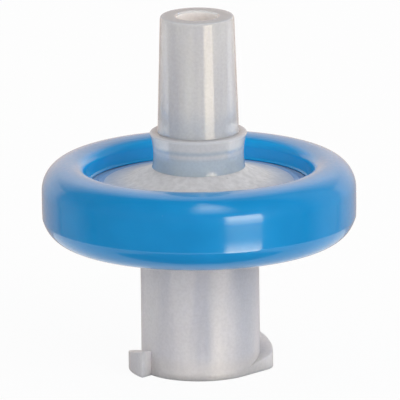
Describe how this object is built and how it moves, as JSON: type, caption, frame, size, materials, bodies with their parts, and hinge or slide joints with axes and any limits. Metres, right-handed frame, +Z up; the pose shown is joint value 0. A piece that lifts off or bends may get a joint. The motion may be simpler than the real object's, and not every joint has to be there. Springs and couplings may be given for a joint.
{
  "type": "syringe filter",
  "caption": "Small disc filter with a female luer lock inlet below, a membrane sealed in a coloured overmoulded ring, and a male luer slip outlet above.",
  "frame": {"origin": "centre of the inlet's flat end face, which the part stands on", "axes": "+Z up along the flow axis, from the inlet to the outlet cone's tip; +X through the middle of one luer lock lug"},
  "size_m": [0.017, 0.017, 0.0196],
  "materials": {
    "natural_polypropylene": "natural, milky translucent, satin moulded",
    "blue_polypropylene": "blue, satin to gloss moulded",
    "membrane_white": "matt white porous membrane"
  },
  "bodies": {
    "root": {"inlet_housing": "natural_polypropylene", "outlet_housing": "natural_polypropylene", "membrane": "membrane_white", "overmould_ring": "blue_polypropylene"}
  },
  "joints": []
}
